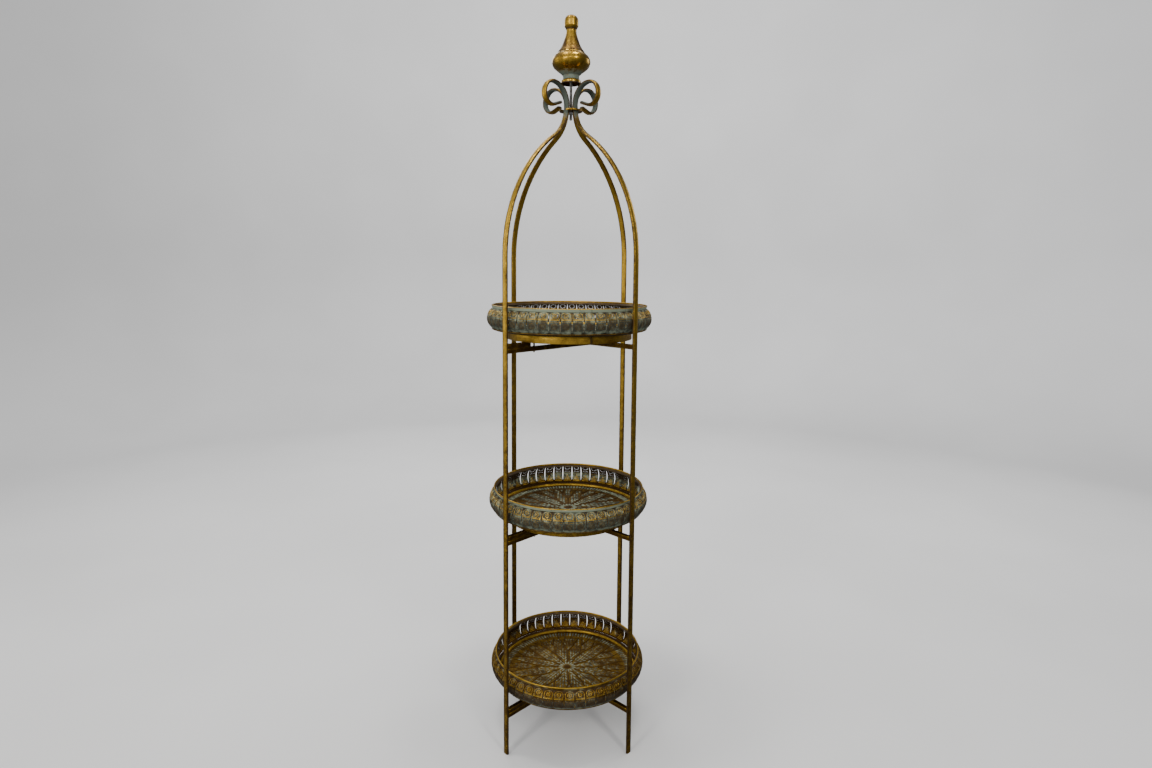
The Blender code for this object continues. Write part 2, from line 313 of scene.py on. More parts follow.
def wall_sheet():
    """A panel's pierced sheet as a closed solid in (across, along, height)."""
    loops = [wall_outline()]
    for across, along, radius in wall_holes():
        loops.append(circle(across, along, radius, 8))
    coords, faces = [], []
    for loop in loops:
        faces.append(list(range(len(coords), len(coords) + len(loop))))
        coords.extend(Vector(point) for point in loop)
    for row in range(1, int(WALL_LENGTH / MESH_STEP) + 1):
        for column in range(-3, 4):
            across = column * MESH_STEP + (row % 2 - 0.5) * 0.4 * MESH_STEP
            along = row * MESH_STEP
            inside = abs(across) < PITCH_HALF - slit_half_width(along) - 1.2 * MM
            inside = inside and along < WALL_LENGTH - 1.0 * MM
            if inside and not in_hole(across, along, 0.7 * MM):
                coords.append(Vector((across, along)))
    flat, _, triangles, _, _, _ = delaunay_2d_cdt(coords, [], faces, 1, 1e-7)
    middles = [(flat[a] + flat[b] + flat[c]) / 3 for a, b, c in triangles]
    triangles = [t for t, middle in zip(triangles, middles) if not in_hole(*middle)]
    edges = dict.fromkeys(pair for t in triangles for pair in zip(t, t[1:] + t[:1]))
    count = len(flat)
    doming = [DOMING * (1 - (p.x / PITCH_HALF) ** 2) for p in flat]
    points = [(p.x, p.y, d - 0.05 * MM) for p, d in zip(flat, doming)]
    points += [(p.x, p.y, d - SHEET) for p, d in zip(flat, doming)]
    solid = [tuple(t) for t in triangles]
    solid += [tuple(count + i for i in reversed(t)) for t in triangles]
    for a, b in edges:
        joins_next = all(abs(abs(flat[i].x) - PITCH_HALF) < 1e-7 for i in (a, b))
        if (b, a) not in edges and not joins_next:
            solid.append((a, count + a, count + b, b))
    return Shape(points, solid, [0.06] * (2 * count))


def arch_frame():
    """Outline of the frame round the rosette: straight foot and sides under a low arch."""
    half, low, spring, rise = 9.3 * MM, 34.4 * MM, 42.6 * MM, 6.2 * MM
    points = [(half * share, low) for share in (-0.9, -0.45, 0.0, 0.45, 0.9)]
    points += [(half, low + 0.9 * MM), (half, (low + spring) / 2)]
    points += [(half * cos(pi * i / 12), spring + rise * sin(pi * i / 12)) for i in range(13)]
    points += [(-half, (low + spring) / 2), (-half, low + 0.9 * MM)]
    return points


def wall_ornament():
    """Raised work on the outside of a panel."""
    shape = Shape()
    tall = RELIEF
    ridge(shape, arch_frame(), 0.6 * MM, tall, closed=True)
    ridge(shape, circle(0.0, ROSETTE_ALONG, 4.0 * MM, 20), 0.75 * MM, tall, closed=True)
    bead(shape, 0.0, ROSETTE_ALONG, 1.3 * MM, tall)
    # Line at the widest place, with a row of beads under it
    reach = PITCH_HALF - SLIT_HALF - 0.4 * MM
    ridge(shape, [(reach * share, LINE_ALONG) for share in (-1, -0.5, 0, 0.5, 1)], 0.9 * MM, tall)
    for index in range(-2, 3):
        bead(shape, index * 3.8 * MM, BEADS_ALONG, 1.15 * MM, 0.9 * tall, sides=6)
    # Lower circle
    ridge(shape, circle(0.0, ROUND_ALONG, 6.1 * MM, 22), 0.85 * MM, tall, closed=True)
    ridge(shape, circle(0.0, ROUND_ALONG, 3.3 * MM, 16), 0.7 * MM, 0.8 * tall, closed=True)
    bead(shape, 0.0, ROUND_ALONG, 1.2 * MM, tall)
    # Small beads beside the rosette and round the circle
    for across, along, radius in ((8.0, 36.0, 0.8), (7.6, 23.7, 0.8), (7.2, 12.7, 0.8),
                                  (2.6, 9.4, 0.9), (6.6, 8.0, 0.9)):
        for side in (-1, 1):
            bead(shape, side * across * MM, along * MM, radius * MM, 0.8 * tall, sides=6)
    return shape


def wall_inner_ornament():
    """Raised work on the inside of a panel: a triangle of beads above the ledge."""
    shape = Shape()
    tall = 0.7 * MM
    for row, count in enumerate((5, 4, 3, 2, 1)):
        for index in range(count):
            across = (index - (count - 1) / 2) * 3.6 * MM
            bead(shape, across, (5.2 + 3.5 * row) * MM, 1.5 * MM, tall, sides=7)
    for side in (-1, 1):
        bead(shape, side * 7.6 * MM, 13.6 * MM, 0.9 * MM, tall, stretch=2.0, sides=6)
        bead(shape, side * 5.0 * MM, 20.4 * MM, 0.85 * MM, tall, sides=6)
    path = [(8.4 * MM * share, (25.0 - 1.6 * share * share) * MM)
            for share in (-1, -0.6, -0.2, 0.2, 0.6, 1)]
    ridge(shape, path, 0.55 * MM, tall)
    return shape


def turned_out(radius, turn, height):
    return np.stack([radius * np.cos(turn), radius * np.sin(turn), height], axis=1)


def on_wall(start, inside=False):
    """Place for a panel: bends (across, along, height) points onto the wall's arc; start is the
    first panel's angle from the front, in degrees."""
    def place(points, index):
        bend = radians(ARC_LOW) + points[:, 1] / ARC_RADIUS
        if inside:
            reach = ARC_RADIUS - RELIEF - SHEET + 0.2 * MM - points[:, 2]
        else:
            reach = ARC_RADIUS - RELIEF + points[:, 2]
        radius = ARC_CENTRE + reach * np.cos(bend)
        turn = tau * index / PANELS + points[:, 0] / BULGE_RADIUS + radians(start - 90)
        return turned_out(radius, turn, reach * np.sin(bend) - ARC_SINK)
    return place


def flipped(shape):
    shape.faces = reversed_faces(shape.faces)
    return shape


def joined(*shapes):
    whole = Shape()
    for shape in shapes:
        whole.add(shape.points, shape.faces, shape.relief)
    return whole


def raised(shape, height):
    shape.points = [(x, y, z + height) for x, y, z in shape.points]
    return shape


# Tray floor

TRUNKS = 12
HUB_RADIUS = 8.0 * MM
PETALS = 16
PETAL_RADIUS = 16.0 * MM
FORK_RADIUS = 62.0 * MM
TWIG_RADIUS = 106.0 * MM
COMB_START = 139.0 * MM
COMB_LENGTH = 17.5 * MM
COMB_PITCH = 7.4 * MM
LEAF_ROW = 10.6 * MM
LEAF_PITCH = 6.6 * MM


def ease(value):
    value = min(max(value, 0.0), 1.0)
    return value * value * (3 - 2 * value)


def branch(start, end, angle, turn=0.0, steps=8, first=0.1):
    """Path of (radius, angle) from start to end, turning on its way."""
    return [(start + (end - start) * i / steps,
             angle + turn * ease(first + (1 - first) * i / steps)) for i in range(steps + 1)]


def branches(source):
    """Paths of the trunks and their forks as lists of (radius, angle)."""
    paths = []
    sector = tau / TRUNKS
    for trunk in range(TRUNKS):
        base = sector * (trunk + source.uniform(-0.12, 0.12))
        fork = FORK_RADIUS + source.uniform(-12, 10) * MM
        paths.append(branch(20 * MM, fork, base))
        for side in (-1, 1):
            spread = side * sector * 0.25
            twig = TWIG_RADIUS + source.uniform(-10, 8) * MM
            paths.append(branch(fork, twig, base, spread))
            for part in (-1, 1):
                paths.append(branch(twig, COMB_START - 2 * MM, base + spread,
                                    part * sector * 0.125, 6, 0.15))
    return paths


def floor_ornament(seed, leaf):
    """Raised trunks and leaves of a tray floor as two shapes on the plane z = 0; leaf is the
    leaves' half width."""
    source = random.Random(seed)
    trunks, leaves = Shape(), Shape()
    tall = FLOOR_RELIEF

    def ring_of_leaves(radius, count, first, half, length):
        for angle in (tau * (index + first) / count for index in range(count)):
            bead(leaves, *polar(radius, angle), half, tall, stretch=length / half,
                 turn=pi / 2 - angle)

    bead(trunks, 0.0, 0.0, HUB_RADIUS, tall, sides=30)
    ring_of_leaves(PETAL_RADIUS, PETALS, 0.5, 1.15 * leaf, 6.0 * MM)
    paths = branches(source)
    for path in paths:
        wide = 1.6 * MM if path[0][0] < 30 * MM else 1.4 * MM
        ridge(trunks, [polar(*point) for point in path], wide, 1.15 * tall, taper=0.8)
    taken = np.array([polar(*point) for path in paths for point in refined(path)])
    rows = int((COMB_START - PETAL_RADIUS - 9 * MM) / LEAF_ROW)
    for row in range(rows):
        radius = PETAL_RADIUS + 11.5 * MM + LEAF_ROW * row
        count = int(tau * radius / LEAF_PITCH)
        for index in range(count):
            angle = tau * (index + 0.5 * (row % 2) + source.uniform(-0.07, 0.07)) / count
            reach = radius + source.uniform(-0.6, 0.6) * MM
            x, y = polar(reach, angle)
            away = np.hypot(taken[:, 0] - x, taken[:, 1] - y)
            if away.min() < leaf + 1.9 * MM:
                continue
            nearest = taken[away.argmin()]
            side = copysign(1, x * nearest[1] - y * nearest[0])
            near = ease(1.4 - away.min() / (9 * MM))
            lean = -side * near * radians(26) + source.uniform(-0.06, 0.06)
            bead(leaves, x, y, leaf * source.uniform(0.92, 1.08), tall * source.uniform(0.8, 1.0),
                 stretch=5.2 * MM / leaf, turn=pi / 2 - angle + lean)
    middle = COMB_START + COMB_LENGTH / 2
    ring_of_leaves(middle, int(tau * middle / COMB_PITCH), 0.0, 1.25 * leaf, COMB_LENGTH / 2)
    return trunks, leaves


def refined(path, steps=4):
    """Extra points between those of a path of (radius, angle)."""
    fine = []
    for (r0, a0), (r1, a1) in zip(path, path[1:]):
        fine += [(r0 + (r1 - r0) * i / steps, a0 + (a1 - a0) * i / steps) for i in range(steps)]
    return fine + [path[-1]]


def pan_outline():
    """Closed section of the pan: underside, edge, ledge with its roll, floor."""
    under = [(0.0, -58.0), (80.0, -58.0), (147.0, -58.0), (150.5, -57.8), (160.0, -56.2),
             (166.0, -55.0), (169.5, -54.2), (171.2, -53.2), (171.7, -52.0), (171.5, -50.8),
             (170.8, -49.9)]
    ledge = [(170.0, -49.6), (168.6, -50.3), (167.4, -51.4), (166.6, -52.6)]
    roll = [(164.0 + 2.1 * cos(radians(a)), -54.0 + 2.0 * sin(radians(a)))
            for a in range(10, 181, 17)]
    flat = PAN_FLOOR / MM
    floor = [(161.8, -54.8), (161.5, -55.7), (160.4, -56.4), (FLOOR_EDGE / MM, flat),
             (120.0, flat), (60.0, flat), (0.0, flat)]
    relief = [0.3] * 8 + [0.55] * 3 + [0.5, 0.3, 0.1, 0.1] + [0.85] * len(roll)
    relief += [0.75, 0.6, 0.45] + [0.35] * 4
    return [(r * MM, z * MM) for r, z in under + ledge + roll + floor], relief


def rim_outline(green):
    """Section of the rolled rim, a round bead on a narrow band, and its tints: bright brass on the
    bead, darkened brown on the band inside, painted shade under the bead, and verdigris outside, as
    much as green says."""
    centre = RIM_OUTER - RIM_BEAD
    top = [(centre + RIM_BEAD * cos(radians(a)),
            -RIM_BEAD + RIM_BEAD * sin(radians(a))) for a in range(-50, 231, 20)]
    inside = [(RIM_INNER + 2.2 * MM, -3.6 * MM), (RIM_INNER, RIM_FOOT + 0.4 * MM)]
    outside = [(RIM_OUTER - 3.4 * MM, RIM_FOOT), (RIM_OUTER - 0.9 * MM, -4.6 * MM)]
    tints = [(1.1 * green, 0.0)] * 3 + [(0.6 * green, 0.0)] + [(0.0, 0.0)] * (len(top) - 4)
    # The band inside is darkened brown: painted shade under the bead
    tints += [(-0.3, 0.7)] * 2 + [(1.15 * green, 0.0)] * 2
    return top + inside + outside, tints


def edge_beads():
    """Row of small beads round the pan's outer edge."""
    count = int(tau * PAN_EDGE / EDGE_BEAD_PITCH)
    one = Shape()
    bead(one, 0.0, 0.0, 1.15 * MM, 0.8 * MM, sides=6)

    def place(points, index):
        turn = tau * index / count + points[:, 0] / PAN_EDGE
        return turned_out(PAN_EDGE + points[:, 2], turn, points[:, 1] - EDGE_BEAD_DROP)
    return one.repeated(place, count)


BAND_FOOT, LOWER_ROW, SKIRT = 10.5 * MM, 24.5 * MM, 43.0 * MM


def wall_tint(rim, green):
    """Verdigris in the band under the rim, as much as green says, and on the skirt at the foot;
    painted shade in the lower row, less on its raised work, and high on the inside under the rim."""
    def tint(point, relief):
        out = hypot(point[0], point[1])
        drop = rim - point[2]
        skin = ARC_CENTRE + (ARC_RADIUS - SHEET) * sqrt(
            max(0.0, 1 - ((drop - ARC_SINK) / ARC_RADIUS) ** 2))
        inside = ease((skin - out) / (0.4 * MM))
        band = ease((BAND_FOOT - drop) / (2.0 * MM)) * (1 - inside)
        low = ease((drop - LOWER_ROW) / (4.0 * MM))
        skirt = ease((drop - SKIRT) / (2.0 * MM))
        high_inside = inside * (1 - low)
        # Painted shade: the lower row darkens, less on its raised work, and so does the inside's
        # upper part, which faces down under the rim
        soot = (1 - inside) * low * (1 - 0.7 * skirt) * (0.95 - 0.45 * relief) + 0.7 * high_inside
        # The band's high verdigris also turns it paler in the material: painted light from above on
        # the band under the rim
        patina = (1.2 * green - 0.4) * band + (0.3 - 0.6 * inside) * skirt
        return patina - 0.35 * high_inside, soot
    return tint


def leaf_tint(green):
    """More verdigris towards the hub, and on the comb at the edge as much as green says."""
    def tint(point, _relief):
        out = hypot(point[0], point[1])
        comb = ease((out - COMB_START) / (2 * MM))
        return 0.45 * ease((80 * MM - out) / (40 * MM)) + (1.5 * green - 0.8) * comb, 0.0
    return tint


def pan_tint(rim, ground):
    """Brown, dull and darkened underside, painted shade under the pan; a darker ledge outside its
    bright roll; ground is (verdigris, soot) on the floor."""
    def tint(point, _relief):
        out = hypot(point[0], point[1])
        drop = rim - point[2]
        # Painted shade under the pan: brown and darkened
        if drop > 50.9 * MM and out > 165 * MM or drop > 57.2 * MM:
            return -0.8, 0.35
        if out < FLOOR_EDGE + 0.1 * MM:
            return ground
        return -0.3, 0.35 * ease((out - 166.2 * MM) / (0.6 * MM))
    return tint


def make_tray(tier, seed, finish, leaf, ground, green):
    """Wall, rolled rim, pan and floor relief of one tray; they stand for the CAD tray. green is
    how much verdigris its rim and comb have."""
    rim = RIM_HEIGHT[tier]
    body = "tray_" + tier
    start = TRAY_TURN[tier]
    sheet = wall_sheet().repeated(on_wall(start), PANELS)
    outside = wall_ornament().repeated(on_wall(start), PANELS)
    inside = flipped(wall_inner_ornament().repeated(on_wall(start, inside=True), PANELS))
    wall = raised(joined(sheet, outside, inside), rim).build(
        body + "_wall", finish["wall"], merge=0.02 * MM, tint=wall_tint(rim, green))
    outline, relief = pan_outline()
    pan = raised(joined(turned(outline, 144, relief=relief), edge_beads()), rim)
    pan = pan.build(body + "_pan", finish["pan"], sharp=60.0, tint=pan_tint(rim, ground))
    trunks, leaves = floor_ornament(seed, leaf)
    trunks = raised(trunks, rim + PAN_FLOOR).build(body + "_floor_trunks", finish["trunks"])
    leaves = raised(leaves, rim + PAN_FLOOR).build(body + "_floor_leaves", finish["leaves"],
                                                   tint=leaf_tint(green))
    roll, tints = rim_outline(green)
    rolled = flipped(raised(turned(roll, 180, closed=True, relief=[1.0] * len(roll)), rim))
    tints = [pair for pair in tints for _ in range(180)]
    rolled = rolled.build(body + "_rim", finish["rim"], sharp=60.0, tint=tints)
    for piece in (wall, pan, trunks, leaves, rolled):
        attach(piece, body, body)


# Uprights: oval bar, bent as the CAD bar is

BAR_WIDTH, BAR_THICKNESS, BAR_SQUARENESS = 14.2 * MM, 6.6 * MM, 2.5
FOOT_RADIUS, FOOT_SQUARE = 195.0 * MM, 3.0 * MM
SHOULDER_RADIUS, SHOULDER_HEIGHT = 186.0 * MM, 1105.0 * MM
NECK_RADIUS, NECK_STRAIGHT = 12.6 * MM, 3.0 * MM
DOME_BEND, DOME_SLOPE = 302.0 * MM, 57.5
SCROLL_RISE, SCROLL_CROWN, SCROLL_CURL = 39.4 * MM, 25.4 * MM, 20.7 * MM
SCROLL_END, SCROLL_TAIL = 290.0, 18.0 * MM
AZIMUTHS = {"front_left": -135.0, "front_right": -45.0, "rear_right": 45.0, "rear_left": 135.0}
BEND_STEP = 4.0
SCROLL_GREEN = 1340.0 * MM


def bend(path, heading, new_heading, radius):
    """Continue a path of (out, up, heading) along an arc; headings are degrees from +Z."""
    start, end = radians(heading), radians(new_heading)
    side = 1 if end > start else -1
    pieces = max(2, round(abs(new_heading - heading) / BEND_STEP))
    out, up, _ = path[-1]
    for angle in np.linspace(start, end, pieces + 1)[1:]:
        path.append((out + side * radius * (cos(start) - cos(angle)),
                     up + side * radius * (sin(angle) - sin(start)), angle))


def upright_path():
    """Middle line of an upright as (distance from the axis, height, heading)."""
    lean = atan2(SHOULDER_RADIUS - FOOT_RADIUS, SHOULDER_HEIGHT)
    path = [(FOOT_RADIUS, 0.0, 0.0), (FOOT_RADIUS, 0.4 * MM, 0.0), (FOOT_RADIUS, FOOT_SQUARE, lean)]
    leg = np.linspace((FOOT_RADIUS, FOOT_SQUARE), (SHOULDER_RADIUS, SHOULDER_HEIGHT), 61)
    path += [(out, up, lean) for out, up in leg[1:]]
    bend(path, degrees(lean), -DOME_SLOPE, DOME_BEND)
    neck = (path[-1][0] - NECK_RADIUS) / (1 - cos(radians(DOME_SLOPE)))
    bend(path, -DOME_SLOPE, 0.0, neck)
    path.append((NECK_RADIUS, path[-1][1] + NECK_STRAIGHT, 0.0))
    bend(path, 0.0, 90.0, SCROLL_RISE)
    bend(path, 90.0, 180.0, SCROLL_CROWN)
    bend(path, 180.0, SCROLL_END, SCROLL_CURL)
    out, up, heading = path[-1]
    return path + [(out + tail * sin(heading), up + tail * cos(heading), heading)
                   for tail in (0.5 * SCROLL_TAIL, 0.97 * SCROLL_TAIL, SCROLL_TAIL)]


def oval_section():
    """Section of the bar as (through, across): a superellipse, outwards first."""
    def squared(value):
        return copysign(abs(value) ** (2 / BAR_SQUARENESS), value)
    return [(BAR_THICKNESS / 2 * squared(x), BAR_WIDTH / 2 * squared(y))
            for x, y, _ in ring(1.0, 0.0, 28)]


def make_upright(azimuth, name, finish):
    """Upright swept along its middle line, with verdigris on the hollow side of the scroll and of
    the neck below it, darkened there and on the narrow edges: partly patina, partly painted shade."""
    path, section = upright_path(), oval_section()
    turn = radians(azimuth)
    points, relief, tints = [], [], []
    for index, (out, up, heading) in enumerate(path):
        size = 0.9 if index in (0, len(path) - 1) else 1.0
        scroll = ease((up - SCROLL_GREEN) / (85.0 * MM))
        for through, across in section:
            reach = out + size * through * cos(heading)
            height = max(up - size * through * sin(heading), 0.0)
            points.append(spun(reach, size * across, height, turn))
            # Less gold and darker towards the narrow edges, and darker on the scroll's hollow side:
            # patina there, and painted shade on the bar's edges and inside the loop
            flatness = 1 - abs(2 * across / BAR_WIDTH) ** 3
            hollow = ease(0.35 + 1.6 * through / BAR_THICKNESS)
            relief.append(0.7 + 0.3 * flatness)
            tints.append((1.25 * scroll * hollow, 0.4 * (1 - flatness) + 0.55 * scroll * hollow))
    shape = Shape(points, tube_faces(len(path), len(section)), relief)
    return shape.build(name, finish, tint=tints, sharp=50.0)


def make_uprights(finish):
    for name, azimuth in AZIMUTHS.items():
        node = "upright_" + name
        attach(make_upright(azimuth, node + "_bar", finish), "frame", node)


# Square bars and hoops

CAD_BAR_BEVEL = 0.6 * MM
BAR_EDGE = 0.9 * MM


def square_section(half):
    """Rounded square as (y, z, relief), the corners worn bright."""
    inset = half - BAR_EDGE
    worn = inset + BAR_EDGE * sqrt(0.5)
    quarter = ((half, inset, 0.45), (worn, worn, 1.0), (inset, half, 0.45), (0.0, half, 0.2))
    return [spun(*point, turn * pi / 2) for turn in range(4) for point in quarter]


def square_bar(azimuth, start, end, middle_height, half):
    """Bar from start to end along a diagonal, its ends a little smaller."""
    section = square_section(half)
    stations = [start, start + 0.5 * MM]
    count = max(3, int((end - start) / (8 * MM)))
    stations += [start + (end - start) * i / count for i in range(1, count)]
    stations += [end - 0.5 * MM, end]
    turn = radians(azimuth)
    points, relief = [], []
    for index, along in enumerate(stations):
        size = 0.93 if index in (0, len(stations) - 1) else 1.0
        for y, z, value in section:
            points.append(spun(along, size * y, middle_height + size * z, turn))
            relief.append(value)
    return Shape(points, tube_faces(len(stations), len(section)), relief)


def bar_reach(node):
    """Start, end, middle height and half width of a diagonal CAD bar, from its box."""
    low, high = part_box(node)
    half = (high.z - low.z) / 2
    corner = half - CAD_BAR_BEVEL
    far = sqrt(2) * max(abs(low.x), abs(high.x)) - corner
    if low.x * high.x < 0:
        near = -far
    else:
        near = sqrt(2) * min(abs(low.x), abs(high.x)) + corner
    return near, far, (low.z + high.z) / 2, half


BRAZE_DEPTH, BRAZE_ACROSS, BRAZE_HEIGHT = 1.7 * MM, 5.6 * MM, 5.7 * MM


def braze_bead(shape, azimuth, reach, height, source):
    """Lumpy bead of braze at the end of a bar, against the upright's flat side."""
    turn = radians(azimuth)
    rows, columns = 7, 12
    points, relief = [], []
    for row in range(rows):
        polar_angle = pi * (row + 0.5) / rows
        for column in range(columns):
            angle = tau * column / columns
            lump = 1 + source.uniform(-0.1, 0.1)
            out = reach + BRAZE_DEPTH * lump * cos(polar_angle)
            across = BRAZE_ACROSS * lump * sin(polar_angle) * cos(angle)
            up = height + BRAZE_HEIGHT * lump * sin(polar_angle) * sin(angle)
            points.append(spun(out, across, up, turn))
            relief.append(0.5 + 0.5 * source.random())
    shape.add(points, reversed_faces(tube_faces(rows, columns)), relief)


def make_bars(bar_finish, braze_finish, pin_finish):
    """Cross bars and packers with worn edges, the braze at their ends, and the rest pins."""
    source = random.Random(11)
    directions = {"cross_bar_upper": "front_right", "cross_bar_lower": "front_left",
                  "packer_front": "front_left", "packer_rear": "rear_right"}
    for tier in TIERS:
        braze = Shape()
        for kind, corner in directions.items():
            node = kind + "_" + tier
            azimuth = AZIMUTHS[corner]
            start, end, height, half = bar_reach(node)
            bar = square_bar(azimuth, start, end, height, half)
            attach(bar.build(node + "_bar", bar_finish, sharp=60.0), "frame", node)
            braze_bead(braze, azimuth, end - 0.9 * MM, height, source)
            if start < 0:
                braze_bead(braze, azimuth + 180, end - 0.9 * MM, height, source)
        attach(braze.build("braze_" + tier, braze_finish, sharp=80.0), "frame")
        make_pin(tier, pin_finish)


PIN_RADIUS = 1.9 * MM


def make_pin(tier, finish):
    """Rest pin with chamfered ends, dark but for its rubbed lower tip."""
    node = "rest_pin_" + tier
    low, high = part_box(node)
    edge = 0.5 * MM
    outline = [(0.0, low.z), (PIN_RADIUS - edge, low.z), (PIN_RADIUS, low.z + edge),
               (PIN_RADIUS, low.z + 4 * MM), (PIN_RADIUS, high.z - edge),
               (PIN_RADIUS - edge, high.z), (0.0, high.z)]
    pin = turned(outline, 24, relief=[0.9, 0.9, 0.9, 0.1, 0.0, 0.1, 0.1])
    middle_x, middle_y = (low.x + high.x) / 2, (low.y + high.y) / 2
    pin.points = [(x + middle_x, y + middle_y, z) for x, y, z in pin.points]
    attach(pin.build(node + "_rod", finish, sharp=60.0), "frame", node)


HOOP_SEAMS = {"top": -72.0, "middle": 100.0, "bottom": 75.0}
HOOP_BAND, HOOP_EDGE = 3.0 * MM, 0.6 * MM
STAIN_RADIUS, GREEN_REACH, SOOT_REACH = 139.0 * MM, 3.2 * MM, 5.0 * MM


def make_hoops(finish):
    """Flat band hoops with soft edges and a stained butt seam."""
    for tier in TIERS:
        node = "support_hoop_" + tier
        low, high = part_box(node)
        outer, inner, middle = high.x, high.x - HOOP_BAND, (low.z + high.z) / 2
        outline, edge = [], HOOP_EDGE
        corners = ((outer - edge, high.z - edge), (inner + edge, high.z - edge),
                   (inner + edge, low.z + edge), (outer - edge, low.z + edge))
        for start, (radius, height) in zip((0, 90, 180, 270), corners):
            outline += [(radius + edge * cos(radians(angle)), height + edge * sin(radians(angle)))
                        for angle in (start, start + 45, start + 90)]
        outline.insert(6, (inner, middle))
        outline.append((outer, middle))
        relief = 2 * [0.75, 1.0, 0.75, 0.75, 1.0, 0.75, 0.6]
        hoop = turned(outline, 200, closed=True, relief=relief)
        seam = radians(HOOP_SEAMS[tier])

        def stain(point, _relief, seam=seam):
            away = atan2(point[1], point[0]) - seam
            away = abs(atan2(sin(away), cos(away))) * STAIN_RADIUS
            return 0.95 * max(0.0, 1 - away / GREEN_REACH), 0.5 * max(0.0, 1 - away / SOOT_REACH)

        hoop = hoop.build(node + "_band", finish, tint=stain, sharp=70.0)
        attach(hoop, "frame", node)


# Finial, stud, nut and collar

SPIRE_OUTLINE = [(0.0, 1600.0), (5.2, 1598.9), (9.6, 1596.7), (12.6, 1593.8), (14.0, 1590.5),
                 (14.4, 1586.8), (14.5, 1578.5), (14.0, 1576.4), (12.2, 1573.4), (11.1, 1571.2),
                 (10.7, 1568.8), (10.9, 1565.5), (11.8, 1561.2), (13.2, 1555.8), (15.3, 1549.7),
                 (17.7, 1543.5), (20.4, 1537.6), (23.2, 1532.8), (26.3, 1528.8), (28.1, 1526.4)]
BOWL_OUTLINE = [(28.1, 1525.4), (29.0, 1524.2), (32.8, 1520.8), (36.7, 1517.0), (39.3, 1512.5),
                (40.6, 1508.0), (40.0, 1503.5), (38.2, 1499.0), (34.2, 1494.2), (27.7, 1489.3),
                (21.1, 1484.0), (17.6, 1480.6), (17.2, 1477.5), (17.4, 1474.0), (19.0, 1471.5),
                (20.7, 1470.0), (21.1, 1467.5), (21.1, 1464.3)]
FINIAL_WALL = 1.2 * MM
BOWL_UNDERSIDE, BOWL_GROOVE = 1482.0 * MM, 1481.5 * MM
BOWL_LIP, BOWL_FOOT = 1472.2 * MM, 1466.4 * MM
KNOB_GROOVE, SPIRE_SHADE_TOP, SPIRE_SEAM = 1571.6 * MM, 1560.0 * MM, 1527.0 * MM


def shell_outline(points):
    """Outer curve, then the same curve FINIAL_WALL further in, going back."""
    outer = smooth_outline([(r * MM, z * MM) for r, z in points], 4)
    inner = []
    for before, here, after in zip([outer[0]] + outer, outer, outer[1:] + [outer[-1]]):
        dr, dz = after[0] - before[0], after[1] - before[1]
        length = hypot(dr, dz)
        inner.append((max(here[0] + FINIAL_WALL * dz / length, 0.0),
                      here[1] - FINIAL_WALL * dr / length))
    inner[-1] = (outer[-1][0] - FINIAL_WALL, outer[-1][1])
    if outer[0][0] > 0:
        inner[0] = (outer[0][0] - FINIAL_WALL, outer[0][1])
    else:
        inner[0] = (0.0, outer[0][1] - FINIAL_WALL)
    return outer, inner[::-1]


def bowl_patina(point, relief):
    """Verdigris under the bowl and on its neck, thinning out upwards, a dark groove between, and
    painted shade at the bowl's open foot.
    """
    under = 1 - ease((point[2] - BOWL_UNDERSIDE) / (20.0 * MM))
    lip = ease((BOWL_LIP - point[2]) / (1.5 * MM))
    groove = ease(1 - abs(point[2] - BOWL_GROOVE) / (1.6 * MM))
    foot = ease((BOWL_FOOT - point[2]) / (1.2 * MM))
    # The foot, where the bowl opens onto its hollow underside, is darkened as painted shade
    return 1.25 * under * (1 - lip) * relief, 0.7 * groove + 0.8 * foot


def spire_patina(point, _relief):
    """Darker in the groove under the knob, and verdigris, darkened, in the seam at the spire's
    foot.
    """
    groove = ease(1 - abs(point[2] - KNOB_GROOVE) / (3.5 * MM))
    seam = ease((SPIRE_SEAM - point[2]) / (0.5 * MM))
    return 0.25 * seam, 0.55 * groove + 0.3 * seam


def spire_shade(node, height):
    """How much painted shade browns the brass: the spire darkens towards its foot, dimming the
    highlights on its lower slope.
    """
    return ease((SPIRE_SHADE_TOP - height) / (14.0 * MM)) if node == "finial_spire" else 0.0


def make_finial(spire, bowl, steel):
    for node, points, tint, finish in (("finial_spire", SPIRE_OUTLINE, spire_patina, spire),
                                       ("finial_bowl", BOWL_OUTLINE, bowl_patina, bowl)):
        outer, inner = shell_outline(points)
        # Less gold on the spire's lower part: painted shade
        relief = [0.8 - 0.4 * spire_shade(node, height) for _, height in outer] + [0.0] * len(inner)
        shape = turned(outer + inner, 96, closed=node == "finial_bowl", relief=relief)
        shell = flipped(shape).build(node + "_shell", finish, tint=tint, sharp=35.0)
        attach(shell, "finial", node)
    refinish("finial_insert", steel)


def make_stud(finish):
    """M6 stud with its thread where it shows, and plain above."""
    low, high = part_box("finial_stud")
    sides, pitch, depth = 24, 1.0 * MM, 0.45 * MM
    thread_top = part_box("finial_insert")[0].z + 2 * MM
    rows, radius = int((thread_top - low.z) / (pitch / 6)), high.x
    points, relief = [], []
    for height in np.linspace(low.z, thread_top, rows + 1):
        taper = 0.8 * MM * max(0.0, 1 - (height - low.z) / (1.0 * MM))
        for side in range(sides):
            phase = ((height / pitch) - side / sides) % 1.0
            groove = abs(2 * phase - 1)
            reach = radius - depth * (1 - groove) - taper
            points.append(spun(reach, 0.0, height, tau * side / sides))
            relief.append(groove)
    points += ring(0.93 * radius, thread_top + 0.2 * MM, sides) + ring(0.93 * radius, high.z, sides)
    relief += [0.5] * (2 * sides)
    shape = Shape(points, tube_faces(rows + 3, sides), relief)
    attach(shape.build("finial_stud_thread", finish, sharp=80.0), "frame", "finial_stud")


